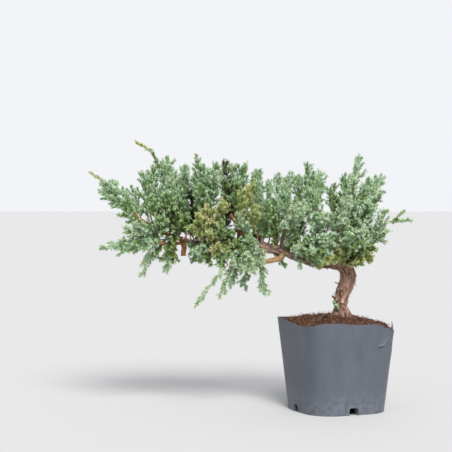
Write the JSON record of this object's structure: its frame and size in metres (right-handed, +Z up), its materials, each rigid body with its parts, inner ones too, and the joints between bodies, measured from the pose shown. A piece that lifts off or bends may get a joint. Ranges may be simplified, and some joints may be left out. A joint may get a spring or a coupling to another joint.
{
  "type": "bonsai tree in a pot",
  "caption": "Young juniper bonsai with a leaning trunk, a long level limb and feathery blue-green foliage, in a square plastic nursery pot.",
  "frame": {"origin": "centre of the pot's underside, where the pot stands", "axes": "+Z up, -X the way the limb reaches, +Y behind the tree when it is looked at from its front"},
  "size_m": [0.4091, 0.161, 0.3383],
  "materials": {
    "pot_plastic": "satin",
    "compost": "matte",
    "bark": "matte",
    "young_bark": "matte",
    "bare_wood": "matte",
    "foliage": "matte"
  },
  "bodies": {
    "root": {"branch_crown_back": "young_bark", "branch_crown_front": "young_bark", "branch_far_left": "young_bark", "branch_hanging_front": "young_bark", "branch_inner": "young_bark", "branch_leader": "young_bark", "branch_limb_1": "young_bark", "branch_limb_2": "young_bark", "branch_limb_3": "young_bark", "branch_lower_left": "young_bark", "branch_middle": "young_bark", "branch_middle_back": "young_bark", "branch_right": "young_bark", "cut_stub": "young_bark", "deadwood": "bare_wood", "foliage_back_1": "foliage", "foliage_back_2": "foliage", "foliage_crown_1": "foliage", "foliage_crown_10": "foliage", "foliage_crown_2": "foliage", "foliage_crown_3": "foliage", "foliage_crown_4": "foliage", "foliage_crown_5": "foliage", "foliage_crown_6": "foliage", "foliage_crown_7": "foliage", "foliage_crown_8": "foliage", "foliage_crown_9": "foliage", "foliage_far_left_1": "foliage", "foliage_hanging_1": "foliage", "foliage_hanging_2": "foliage", "foliage_hanging_3": "foliage", "foliage_hanging_4": "foliage", "foliage_hanging_5": "foliage", "foliage_inner_1": "foliage", "foliage_inner_2": "foliage", "foliage_inner_3": "foliage", "foliage_left_1": "foliage", "foliage_left_2": "foliage", "foliage_left_3": "foliage", "foliage_left_4": "foliage", "foliage_left_5": "foliage", "foliage_limb_1": "foliage", "foliage_limb_2": "foliage", "foliage_limb_3": "foliage", "foliage_limb_4": "foliage", "foliage_limb_5": "foliage", "foliage_limb_6": "foliage", "foliage_limb_7": "foliage", "foliage_limb_8": "foliage", "foliage_lower_left_1": "foliage", "foliage_lower_left_2": "foliage", "foliage_lower_left_3": "foliage", "foliage_middle_1": "foliage", "foliage_middle_2": "foliage", "foliage_middle_3": "foliage", "foliage_middle_4": "foliage", "pot": "pot_plastic", "soil": "compost", "surface_root": "bark", "trunk": "bark"}
  },
  "joints": []
}
